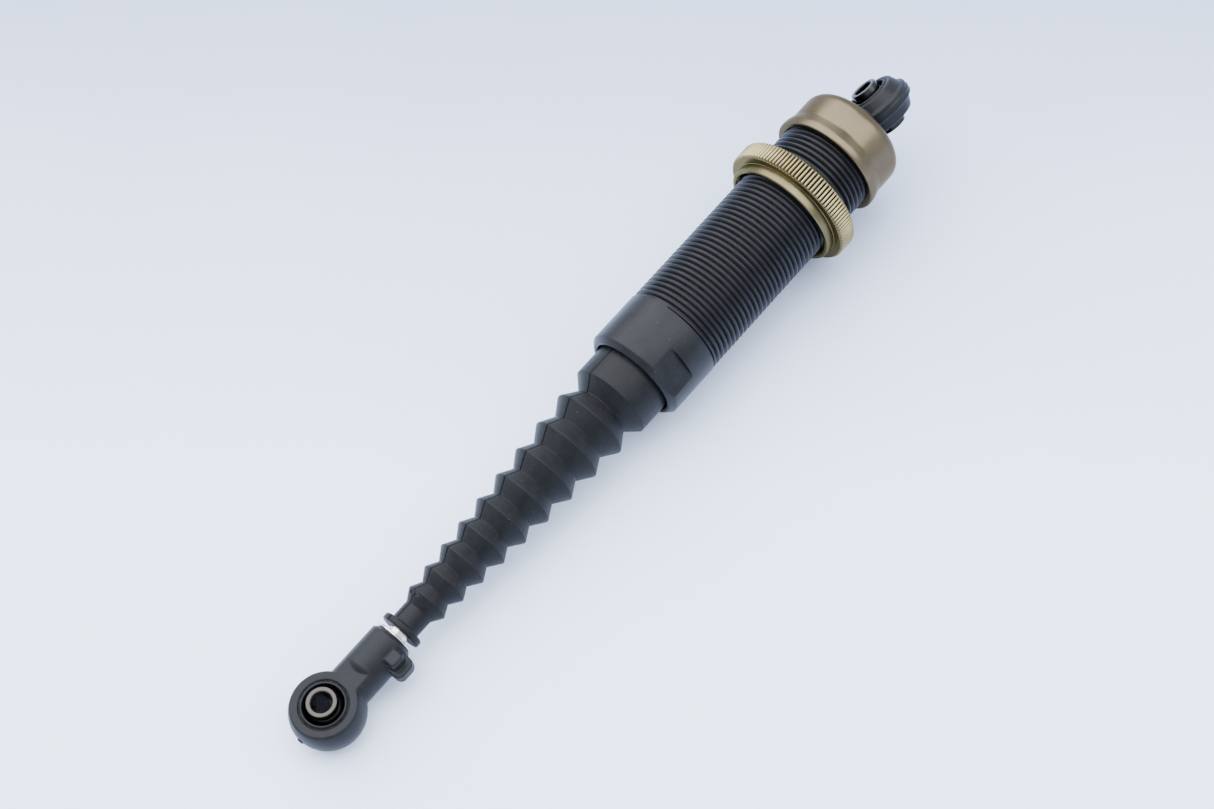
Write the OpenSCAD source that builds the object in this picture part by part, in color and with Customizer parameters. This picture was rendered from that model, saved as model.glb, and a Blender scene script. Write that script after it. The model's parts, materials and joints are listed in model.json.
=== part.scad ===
// Oil-filled coil-over damper with a ribbed rubber boot, shown at full extension without its spring.
// Lengths are in millimetres. The origin is the centre of the lower eye's bore.
// +X runs along the damper to the upper eye, +Z is the lower eye's bore axis, and +Y completes the frame.

/* [Overall] */
// Distance from the lower eye to the lower end of the body, fully extended
extended_gap = 106.6; // [100:0.1:130]
// Length of the threaded body
body_len = 84.2; // [75:0.1:105]
// Turn of the upper eye's bore about X, from +Z towards +Y, in degrees
upper_eye_turn = 50; // [-90:1:90]

/* [Pivot balls] */
// Diameter of the spherical part of each pivot ball
ball_d = 11; // [9.2:0.1:13.2]
// Length of each pivot ball along its bore
ball_width = 12.8; // [12:0.1:18]
// Bore of each pivot ball for its mounting bolt
ball_bore = 5; // [4:0.1:6]
// Wall of the collars at both ends of each pivot ball
ball_collar_wall = 1.125; // [0.6:0.005:1.3]
// Chamfer on the ends of each pivot ball
ball_edge = 0.3; // [0.1:0.05:0.6]

/* [Moulded eyes] */
// Wall of the lower eye around its ball
eye_wall = 3.55; // [2.6:0.05:5]
// Height of the ball's sphere above each flat face of an eye
ball_proud = 1.1; // [0.8:0.1:1.4]
// Distance that the opening around a ball collar is smaller than the ball, at each side
opening_step = 0.55; // [0.4:0.05:0.7]
// Height of the lip around the opening above the flat face
eye_lip = 0.4; // [0:0.1:0.6]
// Distance from the upper ball's sphere to the outside of the raised rib
rib_wall = 3.7; // [3:0.1:5]
// Width of the raised rib around the upper eye
rib_w = 2.8; // [1:0.1:4]
// Height of the raised rib around the upper eye
rib_h = 1; // [0.4:0.1:1.4]

/* [Rod end] */
// Diameter of the shank of the lower rod end
shank_d = 11; // [9:0.1:13]
// Distance from the lower eye to the upper end of the shank
shank_top = 22; // [20:0.1:27]
// Chamfer on the upper end of the shank
shank_chamfer = 0.9; // [0.3:0.1:1.5]
// Depth of rod held inside the shank
rod_grip = 10.5; // [8:0.1:11.5]
// Wall of the steel washer that lies on the end of the shank
washer_wall = 2.25; // [1.5:0.05:2.5]
// Thickness of the steel washer
washer_t = 0.6; // [0.4:0.1:0.9]
// Length of the lug plate along the shank
lug_len = 5.5; // [4:0.1:7]
// Distance from the rod axis to the outer side of the lug plate
lug_reach = 8.9; // [8:0.1:11]
// Thickness of the lug plate
lug_t = 3; // [2:0.1:4]
// Distance from the rod axis to the outer side of the lug block
block_reach = 7; // [6.4:0.1:8]
// Height of the lug block above the rod axis
block_top = 5.3; // [4.6:0.1:6.5]
// Length of the flat faces along the shank, from the outside of the eye
face_run = 1.75; // [0.9:0.05:3]

/* [Rod and piston] */
// Diameter of the polished rod
rod_d = 5; // [4:0.1:6]
// Thickness of the piston
piston_t = 5; // [3:0.1:8]
// Diameter of the oil holes through the piston
piston_hole_d = 1.4; // [0.8:0.1:2.4]
// Number of oil holes through the piston
piston_holes = 6; // [3:1:8]
// Thickness of the retaining clips on each side of the piston
clip_t = 0.7; // [0.5:0.1:1]
// Distance that the retaining clips stand out from the rod
clip_reach = 1.8; // [1.2:0.1:2.2]

/* [Boot] */
// Gap between the rod end and the boot's lower flange
boot_gap = 2; // [1:0.1:4]
// Thickness of the boot's lower flange
boot_flange_t = 1.7; // [1:0.1:2.5]
// Distance that the boot's lower flange stands out from its neck
boot_flange_reach = 1.6; // [0.8:0.1:2.6]
// Wall of the boot's neck around the rod
boot_neck_wall = 1.2; // [1:0.05:1.8]
// Distance from the lower face of the flange to the first fold
boot_neck_len = 6.5; // [5:0.1:9]
// Height of the first fold's crest above the neck
first_fold_h = 1.8; // [1.2:0.1:2.8]
// Depth of the last fold's crest below the collar's surface
last_crest_drop = 0.425; // [0:0.025:2]
// Height of the last fold's crest above its root
last_fold_h = 2.85; // [1.5:0.05:4]
// Growth of each fold's length over the one before it
fold_growth = 0.0626; // [0:0.001:0.1]
// Length of the boot's collar outside the body
boot_collar_len = 7.8; // [5:0.1:12]
// Wall of the boot's collar
boot_collar_wall = 1.035; // [0.6:0.005:1.5]
// Wall of the boot's folds
boot_wall = 0.8; // [0.5:0.05:0.9]

/* [Body] */
// Diameter of the oil bore
oil_bore_d = 19; // [16:0.1:23]
// Thickness of the body from the oil bore to the crests of the outside thread
body_wall = 3.5; // [3.2:0.1:5]
// Distance that the plain lower part stands out from the thread
band_proud = 0.1; // [0.1:0.1:1]
// Length of the plain lower part of the body
plain_len = 15.7; // [13:0.1:20]
// Chamfer on the lower end of the body
body_chamfer = 1.3; // [0.5:0.1:1.6]
// Depth of each of the two wrench flats
flat_depth = 0.95; // [0.5:0.05:1.3]
// Length of the wrench flats
flat_len = 8.2; // [5:0.1:11]
// Turn of the wrench flats about X, from +Z towards -Y, in degrees
flat_turn = 55; // [0:1:180]
// Pitch of the outside thread
thread_pitch = 1.5; // [1:0.05:2]
// Depth of the outside thread
thread_depth = 0.8; // [0.4:0.05:0.85]
// Depth of the recess that takes the boot's collar
recess_depth = 4; // [3:0.1:5]
// Gap around the boot's collar in its recess
recess_gap = 0.475; // [0.1:0.025:0.6]

/* [Seals and gland] */
// Wall of the seal carrier around the rod seals
carrier_wall = 3.75; // [2.6:0.05:4]
// Thickness of the gland nut's threaded part
gland_thread_len = 2.4; // [2:0.1:4]
// Length of the gland nut's head
gland_head_len = 5; // [4.5:0.1:6]
// Distance that the gland nut's head stands out from its thread
gland_head_reach = 0.85; // [0.7:0.05:1.2]
// Length of the seal carrier
carrier_len = 5.6; // [5.2:0.1:7]
// Thickness of the upper guide bush
guide_t = 2.8; // [2:0.1:4]
// Thickness of the body's web above the seals
web_t = 2.2; // [1.5:0.1:4]
// Section diameter of the rod seals
seal_section = 2; // [1.6:0.1:2.2]
// Clearance around the rod seals in their carrier
seal_clearance = 0.2; // [0.1:0.05:0.3]
// Wall of the lower guide bush
guide_wall = 1.5; // [1:0.1:1.8]

/* [Spring preload nut] */
// Distance that the knurled ring stands out from the collar
knurl_proud = 2.5; // [1.5:0.1:4]
// Width of the knurled ring
knurl_w = 5.3; // [4:0.1:8]
// Number of knurl teeth
knurl_teeth = 108; // [60:1:140]
// Depth of the knurl teeth
knurl_depth = 0.35; // [0.2:0.05:0.5]
// Wall of the spring locating collar
nut_wall = 2; // [1.8:0.1:3]
// Length of the spring locating collar
nut_collar_len = 2.6; // [1.5:0.1:4]
// Distance from the body's lower end to the spring seat
seat_pos = 59.5; // [35:0.1:64]
// Section diameter of the friction ring inside the nut
nut_ring_section = 1.5; // [1.2:0.1:1.7]

/* [Cap] */
// Wall of the cap around the thread
cap_wall = 1.1; // [0.8:0.1:3]
// Height of the cap
cap_len = 13.4; // [11:0.1:18]
// Thickness of the cap's top wall
cap_top_t = 3.8; // [3:0.1:5]
// Distance that the cap's lip stands out from the cap
lip_proud = 0.7; // [0.4:0.1:1.5]
// Height of the cap's lip
lip_len = 3.3; // [2:0.1:5]
// Rounding of the cap's upper edge
cap_round = 3.5; // [1:0.1:3.7]
// Diameter of the upper eye's stem
stem_d = 12; // [10:0.1:14]
// Distance from the top of the cap to the upper ball's sphere
upper_eye_gap = 3.2; // [2.6:0.1:6]
// Gap between the cap and the foot of the upper eye
eye_clearance = 0.1; // [0.1:0.05:0.5]

/* [Fits] */
// Radial running clearance of moving fits
run_gap = 0.03; // [0.02:0.01:0.08]
// Radial gap of threaded and assembled fits
fit_gap = 0.05; // [0.02:0.01:0.1]

/* [Hidden] */
$fn = 96;
tiny = 0.01;
folds = 9;

// Small chamfer that breaks the edges of turned pieces
edge_break = 0.4;

rod_r = rod_d / 2;
oil_r = oil_bore_d / 2;
thread_r = oil_r + body_wall;
body_r = thread_r + band_proud;

// Radii and heights of the eyes
ball_r = ball_d / 2;
ball_collar_r = ball_bore / 2 + ball_collar_wall;
eye_r = ball_r + eye_wall;
eye_half = ball_r - ball_proud;
opening_r = ball_r - opening_step;
lip_r = opening_r + 1;
rib_r = ball_r + rib_wall;
face_reach = eye_r + face_run;

// Stations of the seal stack, counted up from the body's lower end
body_x = extended_gap;
body_top = body_x + body_len;
recess_x = body_x + recess_depth;
carrier_x = recess_x + gland_thread_len;
guide_x = carrier_x + carrier_len;
web_x = guide_x + guide_t;
chamber_x = web_x + web_t;
seal_pocket_r = rod_r + seal_section + seal_clearance;
gland_r = seal_pocket_r + carrier_wall;
gland_bore_r = gland_r + fit_gap;
gland_head_r = gland_bore_r + gland_head_reach;
bush_r = rod_r + guide_wall;
wiper_x = recess_x + edge_break;
seal_step = 0.1;
web_gap = 0.4;

// Stations of the piston on the rod at full extension
clip_r = rod_r + clip_reach;
clip_x = chamber_x + 0.8;
piston_x = clip_x + clip_t + fit_gap;
upper_clip_x = piston_x + piston_t + fit_gap;
rod_top = upper_clip_x + clip_t + 1;
rod_bottom = shank_top - rod_grip - 1;
clip_groove_r = rod_r - 0.5;
clip_play = 0.02;
clip_groove_w = clip_t + 2 * clip_play;

// Stations of the boot
boot_play = 0.04;
boot_inner_r = gland_head_r + boot_play;
boot_collar_r = boot_inner_r + boot_collar_wall;
boot_neck_r = rod_r + boot_neck_wall;
first_crest_r = boot_neck_r + first_fold_h;
last_crest_r = boot_collar_r - last_crest_drop;
last_root_r = last_crest_r - last_fold_h;
recess_r = boot_collar_r + recess_gap;
boot_x = shank_top + boot_gap;
bellows_x = boot_x + boot_neck_len;
collar_x = body_x - boot_collar_len;
boot_end = body_x + recess_depth - 1;
half_fold = 3.4;
fold_len = (collar_x - half_fold - bellows_x) / (folds + fold_growth * folds * (folds - 1) / 2);
bead_x = body_x + 1;
bead_len = 1.2;
bead_h = 0.5;
bead_play = 0.1;
crest_half_w = 0.2;
flange_edge = 0.3;

// Stations of the cap and the upper eye
cap_x = body_top - cap_len + cap_top_t + 0.1;
cap_top = cap_x + cap_len;
cap_r = thread_r + cap_wall;
cap_lip_r = cap_r + lip_proud;
upper_eye_x = cap_top + upper_eye_gap + ball_r;

// Stations of the thread, the end land and the cap's seal
thread_x = body_x + plain_len;
land_len = 3.5;
land_x = body_top - land_len;
land_r = thread_r - 0.4;
groove_x = land_x + 0.9;
groove_w = 1.8;
cap_seal_r = 0.75;
cap_seal_ring_r = thread_r - cap_seal_r;
groove_floor_r = cap_seal_ring_r - cap_seal_r - 0.05;
thread_lead = 0.3;
thread_root_w = 0.2;
flank_w = thread_depth * tan(30);
crest_w = thread_pitch - 2 * flank_w - thread_root_w;
turns = floor((land_x - thread_x - 2 * thread_lead) / thread_pitch);

// Counterbore at the top of the body for the bladder's rim
rim_r = oil_r + 1.1;
rim_depth = 1.2;

// Stations of the preload nut
seat_x = body_x + seat_pos;
nut_x = seat_x - nut_collar_len;
nut_bore_r = thread_r + fit_gap;
nut_collar_r = thread_r + nut_wall;
knurl_r = nut_collar_r + knurl_proud;
ring_x = seat_x + knurl_w / 2;
ring_r = nut_ring_section / 2;
ring_mid_r = thread_r + run_gap + ring_r;
ring_room_r = ring_mid_r + ring_r + 0.02;
ring_room_w = nut_ring_section + 0.2;

// A solid turned about the X axis from points given as [radius, x]
module turned(points) {
    rotate([0, 90, 0]) rotate_extrude() polygon(points);
}

// A ring of round section about the X axis
module o_ring(mid_r, section_r, x) {
    translate([x, 0, 0]) rotate([0, 90, 0]) rotate_extrude() translate([mid_r, 0]) circle(section_r, $fn = 48);
}

// A plain tube about the X axis
module tube(outer_r, inner_r, x, len) {
    turned([[inner_r, x], [outer_r, x], [outer_r, x + len], [inner_r, x + len]]);
}

// Turns what points along Z towards +Y by an angle about X, at a place along X
module at_eye(x, turn) {
    translate([x, 0, 0]) rotate([-turn, 0, 0]) children();
}

// The spherical pocket, the two openings and the groove around each lip of an eye
module eye_cuts() {
    lip_z = eye_half + eye_lip;
    sphere(ball_r + run_gap);
    cylinder(r = opening_r, h = 3 * eye_half, center = true);
    for (side = [0, 1]) mirror([0, 0, side]) rotate_extrude() polygon([
        [opening_r + 0.25, lip_z + tiny], [opening_r + 0.8, eye_half - 0.7],
        [opening_r + 1.25, eye_half], [opening_r + 1.25, lip_z + tiny]]);
}

// The lip of an eye before its cuts
module eye_lips() {
    cylinder(r = lip_r, h = 2 * (eye_half + eye_lip), center = true);
}

module shock_body() {
    color("#3b3d42") difference() {
        turned(concat(
            [[recess_r, body_x], [body_r - body_chamfer, body_x],
             [body_r, body_x + body_chamfer], [body_r, thread_x - thread_lead - band_proud],
             [thread_r, thread_x - thread_lead]],
            [for (k = [0 : turns - 1], p = thread_groove(thread_x + thread_lead + k * thread_pitch)) p],
            [[thread_r, land_x - thread_lead], [land_r, land_x + 0.1], [land_r, groove_x],
             [groove_floor_r, groove_x], [groove_floor_r, groove_x + groove_w],
             [land_r, groove_x + groove_w], [land_r, body_top],
             [rim_r, body_top], [rim_r, body_top - rim_depth], [oil_r, body_top - rim_depth],
             [oil_r, chamber_x], [rod_r + web_gap, chamber_x], [rod_r + web_gap, web_x],
             [gland_bore_r, web_x], [gland_bore_r, recess_x], [recess_r, recess_x]]));
        rotate([flat_turn, 0, 0]) for (side = [-1, 1])
            translate([body_x - 1, -2 * body_r, side > 0 ? body_r - flat_depth : flat_depth - 3 * body_r])
                cube([flat_len + 1, 4 * body_r, 2 * body_r]);
    }
}

// One V groove of the outside thread, starting at x
function thread_groove(x) = [
    [thread_r, x + crest_w],
    [thread_r - thread_depth, x + crest_w + flank_w],
    [thread_r - thread_depth, x + thread_pitch - flank_w],
    [thread_r, x + thread_pitch]];

module top_cap() {
    lip_edge = 0.5;
    round_points = [for (a = [0 : 15 : 90])
        [cap_r - cap_round + cap_round * cos(a), cap_top - cap_round + cap_round * sin(a)]];
    color("#a39178") turned(concat(
        [[nut_bore_r, cap_x], [cap_lip_r - lip_edge, cap_x], [cap_lip_r, cap_x + lip_edge],
         [cap_lip_r, cap_x + lip_len - edge_break], [cap_r, cap_x + lip_len]],
        round_points,
        [[stem_d / 2, cap_top], [stem_d / 2, cap_top - cap_top_t], [nut_bore_r, cap_top - cap_top_t]]));
}

module cap_seal() {
    color("#202124") o_ring(cap_seal_ring_r, cap_seal_r, groove_x + groove_w / 2);
}

// Rubber diaphragm: a cup that opens towards the cap, with its rim in the body's counterbore
module bladder() {
    wall = 0.8;
    cup_x = body_top - 6.5;
    outer = oil_r - 0.15;
    slope = 1.5;
    rim_x = body_top - rim_depth + 0.1;
    color("#2b2b2e") turned([[0, cup_x], [outer - slope, cup_x],
        [outer, cup_x + slope], [outer, rim_x], [rim_r - 0.1, rim_x],
        [rim_r - 0.1, body_top], [outer - wall, body_top], [outer - wall, cup_x + slope + 0.3],
        [outer - slope - 0.3, cup_x + wall], [0, cup_x + wall]]);
}

module upper_eyelet() {
    flank_r = rib_r - rib_h;
    face_r = flank_r - 1.2;
    rib_z = rib_w / 2;
    face_edge = 0.3;
    rib_slope = 0.2;
    color("#2a2b2f") {
        difference() {
            union() {
                difference() {
                    at_eye(upper_eye_x, upper_eye_turn) rotate_extrude() polygon([
                        [0, -eye_half], [face_r, -eye_half], [face_r + face_edge, -eye_half + face_edge],
                        [flank_r, -rib_z - rib_slope], [rib_r, -rib_z + rib_slope],
                        [rib_r, rib_z - rib_slope], [flank_r, rib_z + rib_slope],
                        [face_r + face_edge, eye_half - face_edge], [face_r, eye_half], [0, eye_half]]);
                    tube(2 * rib_r, 0, cap_top + eye_clearance - rib_r, rib_r);
                }
                at_eye(upper_eye_x, upper_eye_turn) eye_lips();
                tube(stem_d / 2 - fit_gap, 0, cap_top - cap_top_t + 0.1, cap_top_t + 3);
            }
            at_eye(upper_eye_x, upper_eye_turn) eye_cuts();
        }
    }
}

module upper_guide_bush() {
    color("#c9b27a") tube(gland_r, rod_r + run_gap, guide_x, guide_t);
}

// Holds the two rod seals and the spacer, with a groove for its own seal outside
module seal_carrier() {
    groove_r = gland_r - 1.25;
    half_w = 0.8;
    mid = carrier_x + carrier_len / 2;
    color("#8c8f94") turned([[seal_pocket_r, carrier_x], [gland_r, carrier_x], [gland_r, mid - half_w],
        [groove_r, mid - half_w], [groove_r, mid + half_w], [gland_r, mid + half_w],
        [gland_r, guide_x], [seal_pocket_r, guide_x]]);
}

module carrier_seal() {
    section_r = 0.6;
    color("#202124") o_ring(gland_bore_r - section_r, section_r, carrier_x + carrier_len / 2);
}

module rod_seals() {
    section_r = seal_section / 2;
    color("#7a2f28") for (x = [carrier_x + section_r + seal_step, guide_x - section_r - seal_step])
        o_ring(rod_r + run_gap + section_r, section_r, x);
}

module seal_spacer() {
    from_end = seal_section + 3 * seal_step;
    color("#e4e2da") tube(seal_pocket_r - fit_gap, rod_r + 0.1, carrier_x + from_end, carrier_len - 2 * from_end);
}

// Screws into the body below the seals, and its head carries the boot's bead
module gland_nut() {
    head_r = gland_head_r;
    head_x = recess_x - gland_head_len;
    hole_d = 2;
    color("#8c8f94") difference() {
        turned([[bush_r, head_x], [head_r - edge_break, head_x], [head_r, head_x + edge_break],
            [head_r, bead_x - bead_play], [head_r - bead_h, bead_x - bead_play],
            [head_r - bead_h, bead_x + bead_len + bead_play], [head_r, bead_x + bead_len + bead_play],
            [head_r, recess_x], [gland_r, recess_x], [gland_r, carrier_x - tiny],
            [seal_pocket_r, carrier_x - tiny], [seal_pocket_r, wiper_x], [bush_r, wiper_x]]);
        for (a = [0, 180]) rotate([a, 0, 0]) translate([head_x - 1, 0, (bush_r + head_r) / 2])
            rotate([0, 90, 0]) cylinder(d = hole_d, h = hole_d + 1, $fn = 32);
    }
}

module wiper_seal() {
    lip_x = wiper_x + fit_gap;
    lip_w = 0.5;
    outer = seal_pocket_r - 0.02;
    top_x = carrier_x - fit_gap;
    color("#202124") turned([[rod_r + run_gap, lip_x], [rod_r + lip_w + 0.1, lip_x],
        [rod_r + lip_w + 0.4, lip_x + lip_w], [outer, lip_x + lip_w], [outer, top_x],
        [rod_r + lip_w, top_x], [rod_r + lip_w, lip_x + lip_w + 0.4]]);
}

module lower_guide_bush() {
    head_x = recess_x - gland_head_len;
    color("#c9b27a") tube(bush_r, rod_r + run_gap, head_x, wiper_x - head_x);
}

// Radius and place of the root before fold k, and of the crest of fold k
function root_r(k) = boot_neck_r + (last_root_r - boot_neck_r) * pow(k / (folds - 1), 1.15);
function root_x(k) = bellows_x + fold_len * (k + fold_growth * k * (k - 1) / 2);
function crest_r(k) = first_crest_r + (last_crest_r - first_crest_r) * k / (folds - 1);
function crest_x(k) = (root_x(k) + root_x(k + 1)) / 2;

// Outside and inside outlines of the folds; the inside is one wall smaller in radius
function fold_points(wall) = [for (k = [0 : folds - 1], p = [
    [crest_r(k) - wall, crest_x(k) - crest_half_w],
    [crest_r(k) - wall, crest_x(k) + crest_half_w],
    [root_r(k) - wall, root_x(k + 1)]]) p];

module boot() {
    neck_r = boot_neck_r;
    flange_r = neck_r + boot_flange_reach;
    flange_top = boot_x + boot_flange_t;
    bead_r = boot_inner_r - bead_h + 0.05;
    inside = concat([[rod_r + run_gap, boot_x], [rod_r + run_gap, bellows_x - 0.6],
        [neck_r - boot_wall, bellows_x + 0.1]], fold_points(boot_wall),
        [[boot_inner_r, collar_x + 0.9], [boot_inner_r, bead_x], [bead_r, bead_x + 0.2],
         [bead_r, bead_x + bead_len - 0.2], [boot_inner_r, bead_x + bead_len], [boot_inner_r, boot_end]]);
    outside = concat([[flange_r - flange_edge, boot_x], [flange_r, boot_x + flange_edge],
        [flange_r, flange_top - flange_edge], [flange_r - flange_edge, flange_top],
        [neck_r, flange_top + 0.2], [neck_r, bellows_x]],
        fold_points(0), [[boot_collar_r, collar_x], [boot_collar_r, boot_end]]);
    color("#2f3034") turned(concat(outside, [for (i = [len(inside) - 1 : -1 : 0]) inside[i]]));
}

module piston() {
    piston_r = oil_r - fit_gap;
    piston_end = piston_x + piston_t;
    color("#ece9df") difference() {
        turned([[rod_r + run_gap, piston_x], [piston_r - edge_break, piston_x],
            [piston_r, piston_x + edge_break], [piston_r, piston_end - edge_break],
            [piston_r - edge_break, piston_end], [rod_r + run_gap, piston_end]]);
        for (k = [0 : piston_holes - 1]) rotate([k * 360 / piston_holes, 0, 0])
            translate([piston_x - 1, 0, (clip_r + oil_r) / 2]) rotate([0, 90, 0])
                cylinder(d = piston_hole_d, h = piston_t + 2, $fn = 32);
    }
}

module piston_rod() {
    color("#d8d6d0") turned(concat(
        [[0, rod_bottom], [rod_r - edge_break, rod_bottom], [rod_r, rod_bottom + edge_break]],
        [for (x = [clip_x - clip_play, upper_clip_x - clip_play], p = [[rod_r, x], [clip_groove_r, x],
            [clip_groove_r, x + clip_groove_w], [rod_r, x + clip_groove_w]]) p],
        [[rod_r, rod_top - edge_break], [rod_r - edge_break, rod_top], [0, rod_top]]));
}

// Two open retaining clips in the rod's grooves
module piston_clips() {
    opening = 2.4;
    color("#9a9ca0") for (x = [clip_x, upper_clip_x]) difference() {
        tube(clip_r, clip_groove_r + clip_play, x, clip_t);
        translate([x - 1, -opening / 2, 0]) cube([clip_t + 2, opening, 2 * clip_r]);
    }
}

module rod_end() {
    shank_r = shank_d / 2;
    lip_z = eye_half + eye_lip;
    color("#2a2b2f") difference() {
        union() {
            intersection() {
                sphere(eye_r);
                cube([4 * eye_r, 4 * eye_r, 2 * eye_half], center = true);
            }
            eye_lips();
            turned([[0, 0], [shank_r, 0], [shank_r, shank_top - shank_chamfer],
                [shank_r - shank_chamfer, shank_top], [0, shank_top]]);
            rod_end_lug();
        }
        eye_cuts();
        for (side = [0, 1]) mirror([0, 0, side]) rotate_extrude() polygon([
            [0, lip_z], [lip_r, lip_z], [lip_r, eye_half], [face_reach, eye_half],
            [face_reach, shank_d], [0, shank_d]]);
        tube(rod_r + tiny, 0, rod_bottom, shank_top);
    }
}

// Lies on the end of the shank, below the boot's flange
module shank_washer() {
    bore_r = rod_r + fit_gap;
    outer_r = bore_r + washer_wall;
    edge = 0.15;
    top_x = shank_top + washer_t;
    color("#d0ceca") turned([[bore_r, shank_top], [outer_r - edge, shank_top], [outer_r, shank_top + edge],
        [outer_r, top_x - edge], [outer_r - edge, top_x], [bore_r, top_x]]);
}

// A chamfered plate and a block on the -Y side of the shank
module rod_end_lug() {
    plate_x = shank_top - 1.2 - lug_len;
    plate_mid_z = 0.7;
    corner = 1;
    root_y = shank_d / 2 - 1.4;
    translate([plate_x, 0, plate_mid_z - lug_t / 2]) linear_extrude(lug_t) polygon([
        [0, -root_y], [0, -lug_reach + corner], [corner, -lug_reach],
        [lug_len - corner, -lug_reach], [lug_len, -lug_reach + corner], [lug_len, -root_y]]);
    translate([plate_x + 1, -block_reach, 0]) cube([lug_len - 2, block_reach - root_y + 0.3, block_top]);
}

// A steel ball with a collar at each end and a through bore, along Z
module pivot_ball() {
    half = ball_width / 2;
    collar_r = ball_collar_r;
    color("#77736c") difference() {
        union() {
            sphere(ball_r);
            rotate_extrude() polygon([[0, -half], [collar_r - ball_edge, -half], [collar_r, -half + ball_edge],
                [collar_r, half - ball_edge], [collar_r - ball_edge, half], [0, half]]);
        }
        cylinder(d = ball_bore, h = ball_width + 2, center = true);
    }
}

module lower_ball() {
    at_eye(0, 0) pivot_ball();
}

module upper_ball() {
    at_eye(upper_eye_x, upper_eye_turn) pivot_ball();
}

module preload_nut() {
    mouth = 1.2;
    mouth_r = nut_bore_r + mouth;
    nut_end = seat_x + knurl_w;
    tooth = 360 / knurl_teeth;
    edge = 0.3;
    relief = 0.8;
    ring_edge_r = knurl_r - knurl_depth - edge - 0.05;
    color("#b9ab7c") difference() {
        union() {
            turned([[0, seat_x], [ring_edge_r, seat_x], [ring_edge_r + edge, seat_x + edge + tiny],
                [ring_edge_r + edge, nut_end - edge - tiny], [ring_edge_r, nut_end], [0, nut_end]]);
            translate([seat_x + edge, 0, 0]) rotate([0, 90, 0]) linear_extrude(knurl_w - 2 * edge)
                polygon([for (k = [0 : knurl_teeth - 1], p = [[0, 0], [0.5, 1]])
                    (knurl_r - p[1] * knurl_depth) * [cos((k + p[0]) * tooth), sin((k + p[0]) * tooth)]]);
            tube(nut_collar_r, 0, nut_x, nut_collar_len + 1);
        }
        turned([[0, nut_x - 1], [mouth_r + 1, nut_x - 1], [mouth_r, nut_x], [nut_bore_r, nut_x + mouth],
            [nut_bore_r, ring_x - ring_room_w / 2], [ring_room_r, ring_x - ring_room_w / 2],
            [ring_room_r, ring_x + ring_room_w / 2], [nut_bore_r, ring_x + ring_room_w / 2],
            [nut_bore_r, nut_end - relief], [nut_bore_r + relief, nut_end],
            [nut_bore_r + relief, nut_end + 1], [0, nut_end + 1]]);
    }
}

module nut_ring() {
    color("#202124") o_ring(ring_mid_r, ring_r, ring_x);
}

shock_body();
top_cap();
cap_seal();
bladder();
upper_eyelet();
upper_guide_bush();
seal_carrier();
carrier_seal();
rod_seals();
seal_spacer();
gland_nut();
wiper_seal();
lower_guide_bush();
boot();
piston();
piston_rod();
piston_clips();
rod_end();
shank_washer();
lower_ball();
upper_ball();
preload_nut();
nut_ring();
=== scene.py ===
# %% [markdown]
# # A coil-over damper with a rubber boot
# This lesson dresses an engineering model of an oil-filled damper, without its spring. The exact parts
# are loaded as a fixed frame. Pieces whose plain shape is right keep their mesh and only get a finish.
# The rest are modelled again with the roundings, the thread and the mould lines that the real ones have.
# +X runs from the lower eye to the upper eye, +Z is the lower eye's bore, and every position comes from
# the frame.

# %% Load the frame
import json
import math

import bmesh
import bpy
from mathutils import Matrix, Vector


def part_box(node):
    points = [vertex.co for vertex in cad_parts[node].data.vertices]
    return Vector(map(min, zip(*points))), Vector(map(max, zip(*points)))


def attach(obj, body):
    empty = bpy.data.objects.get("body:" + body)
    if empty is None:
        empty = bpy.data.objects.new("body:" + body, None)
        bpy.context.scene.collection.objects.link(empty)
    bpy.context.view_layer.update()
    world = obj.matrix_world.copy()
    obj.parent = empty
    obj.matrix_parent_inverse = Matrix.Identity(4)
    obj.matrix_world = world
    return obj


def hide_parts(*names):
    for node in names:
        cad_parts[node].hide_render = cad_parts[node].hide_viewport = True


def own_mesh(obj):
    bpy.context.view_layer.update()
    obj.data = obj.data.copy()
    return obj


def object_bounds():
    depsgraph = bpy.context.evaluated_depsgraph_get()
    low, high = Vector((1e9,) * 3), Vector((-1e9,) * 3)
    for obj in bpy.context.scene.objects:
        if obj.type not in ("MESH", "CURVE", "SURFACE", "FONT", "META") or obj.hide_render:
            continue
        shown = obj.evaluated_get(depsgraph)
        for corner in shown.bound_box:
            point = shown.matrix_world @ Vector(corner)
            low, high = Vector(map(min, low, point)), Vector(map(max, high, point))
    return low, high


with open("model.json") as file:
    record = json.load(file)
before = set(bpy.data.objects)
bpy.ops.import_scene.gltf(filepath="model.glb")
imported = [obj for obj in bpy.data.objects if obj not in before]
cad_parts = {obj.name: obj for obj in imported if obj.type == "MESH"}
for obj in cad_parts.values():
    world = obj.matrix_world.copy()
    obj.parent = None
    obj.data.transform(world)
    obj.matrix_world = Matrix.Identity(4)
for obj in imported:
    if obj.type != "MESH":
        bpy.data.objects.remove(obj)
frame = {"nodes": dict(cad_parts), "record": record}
cad_low, cad_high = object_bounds()
nodes = frame["nodes"]
print("nodes:", len(nodes))

# %% [markdown]
# ## Camera first
# The camera looks steeply down on the damper, which lies across the picture. Its place and its two
# directions are given in the damper's own frame, so the damper never has to be turned. A lens of about 62
# mm on a 36 mm sensor gives the mild perspective of a product picture taken from half a metre.

# %% Camera
MM = 0.001
LENS = 62.27
SENSOR_WIDTH = 36.0
CAMERA_PLACE = Vector((-37.9, -189.1, 445.5)) * MM
LOOK = Vector((0.2697, 0.3763, -0.8864)).normalized()
RIGHT = Vector((0.6485, -0.7514, -0.1217)).normalized()

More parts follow.
